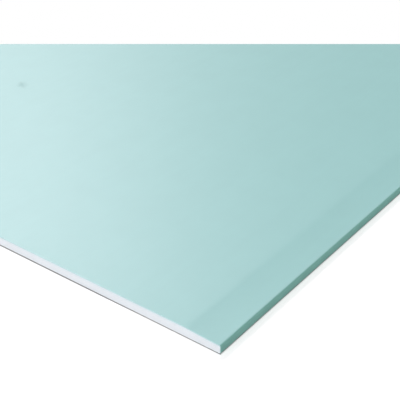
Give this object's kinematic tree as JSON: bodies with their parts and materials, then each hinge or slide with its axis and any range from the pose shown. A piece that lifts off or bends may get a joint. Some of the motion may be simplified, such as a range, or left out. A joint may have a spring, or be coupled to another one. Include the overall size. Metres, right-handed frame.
{
  "type": "moisture-resistant drywall sheet",
  "caption": "Full gypsum board sheet with tapered long edges: white cast core, pale green face paper wrapped round the long edges and folded under, grey back paper.",
  "frame": {"origin": "centre of the back face, on the surface the sheet lies on", "axes": "+X along the bound long edges, +Y across the sheet, +Z from the back up to the face"},
  "size_m": [2.4, 1.2, 0.0125],
  "materials": {
    "gypsum_core": "matt cast gypsum, cut across at both ends",
    "face_paper": "smooth calendered pale green liner with a faint sheen",
    "back_paper": "rough grey recycled liner"
  },
  "bodies": {
    "root": {"gypsum_core": "gypsum_core", "face_paper": "face_paper", "back_paper": "back_paper"}
  },
  "joints": []
}
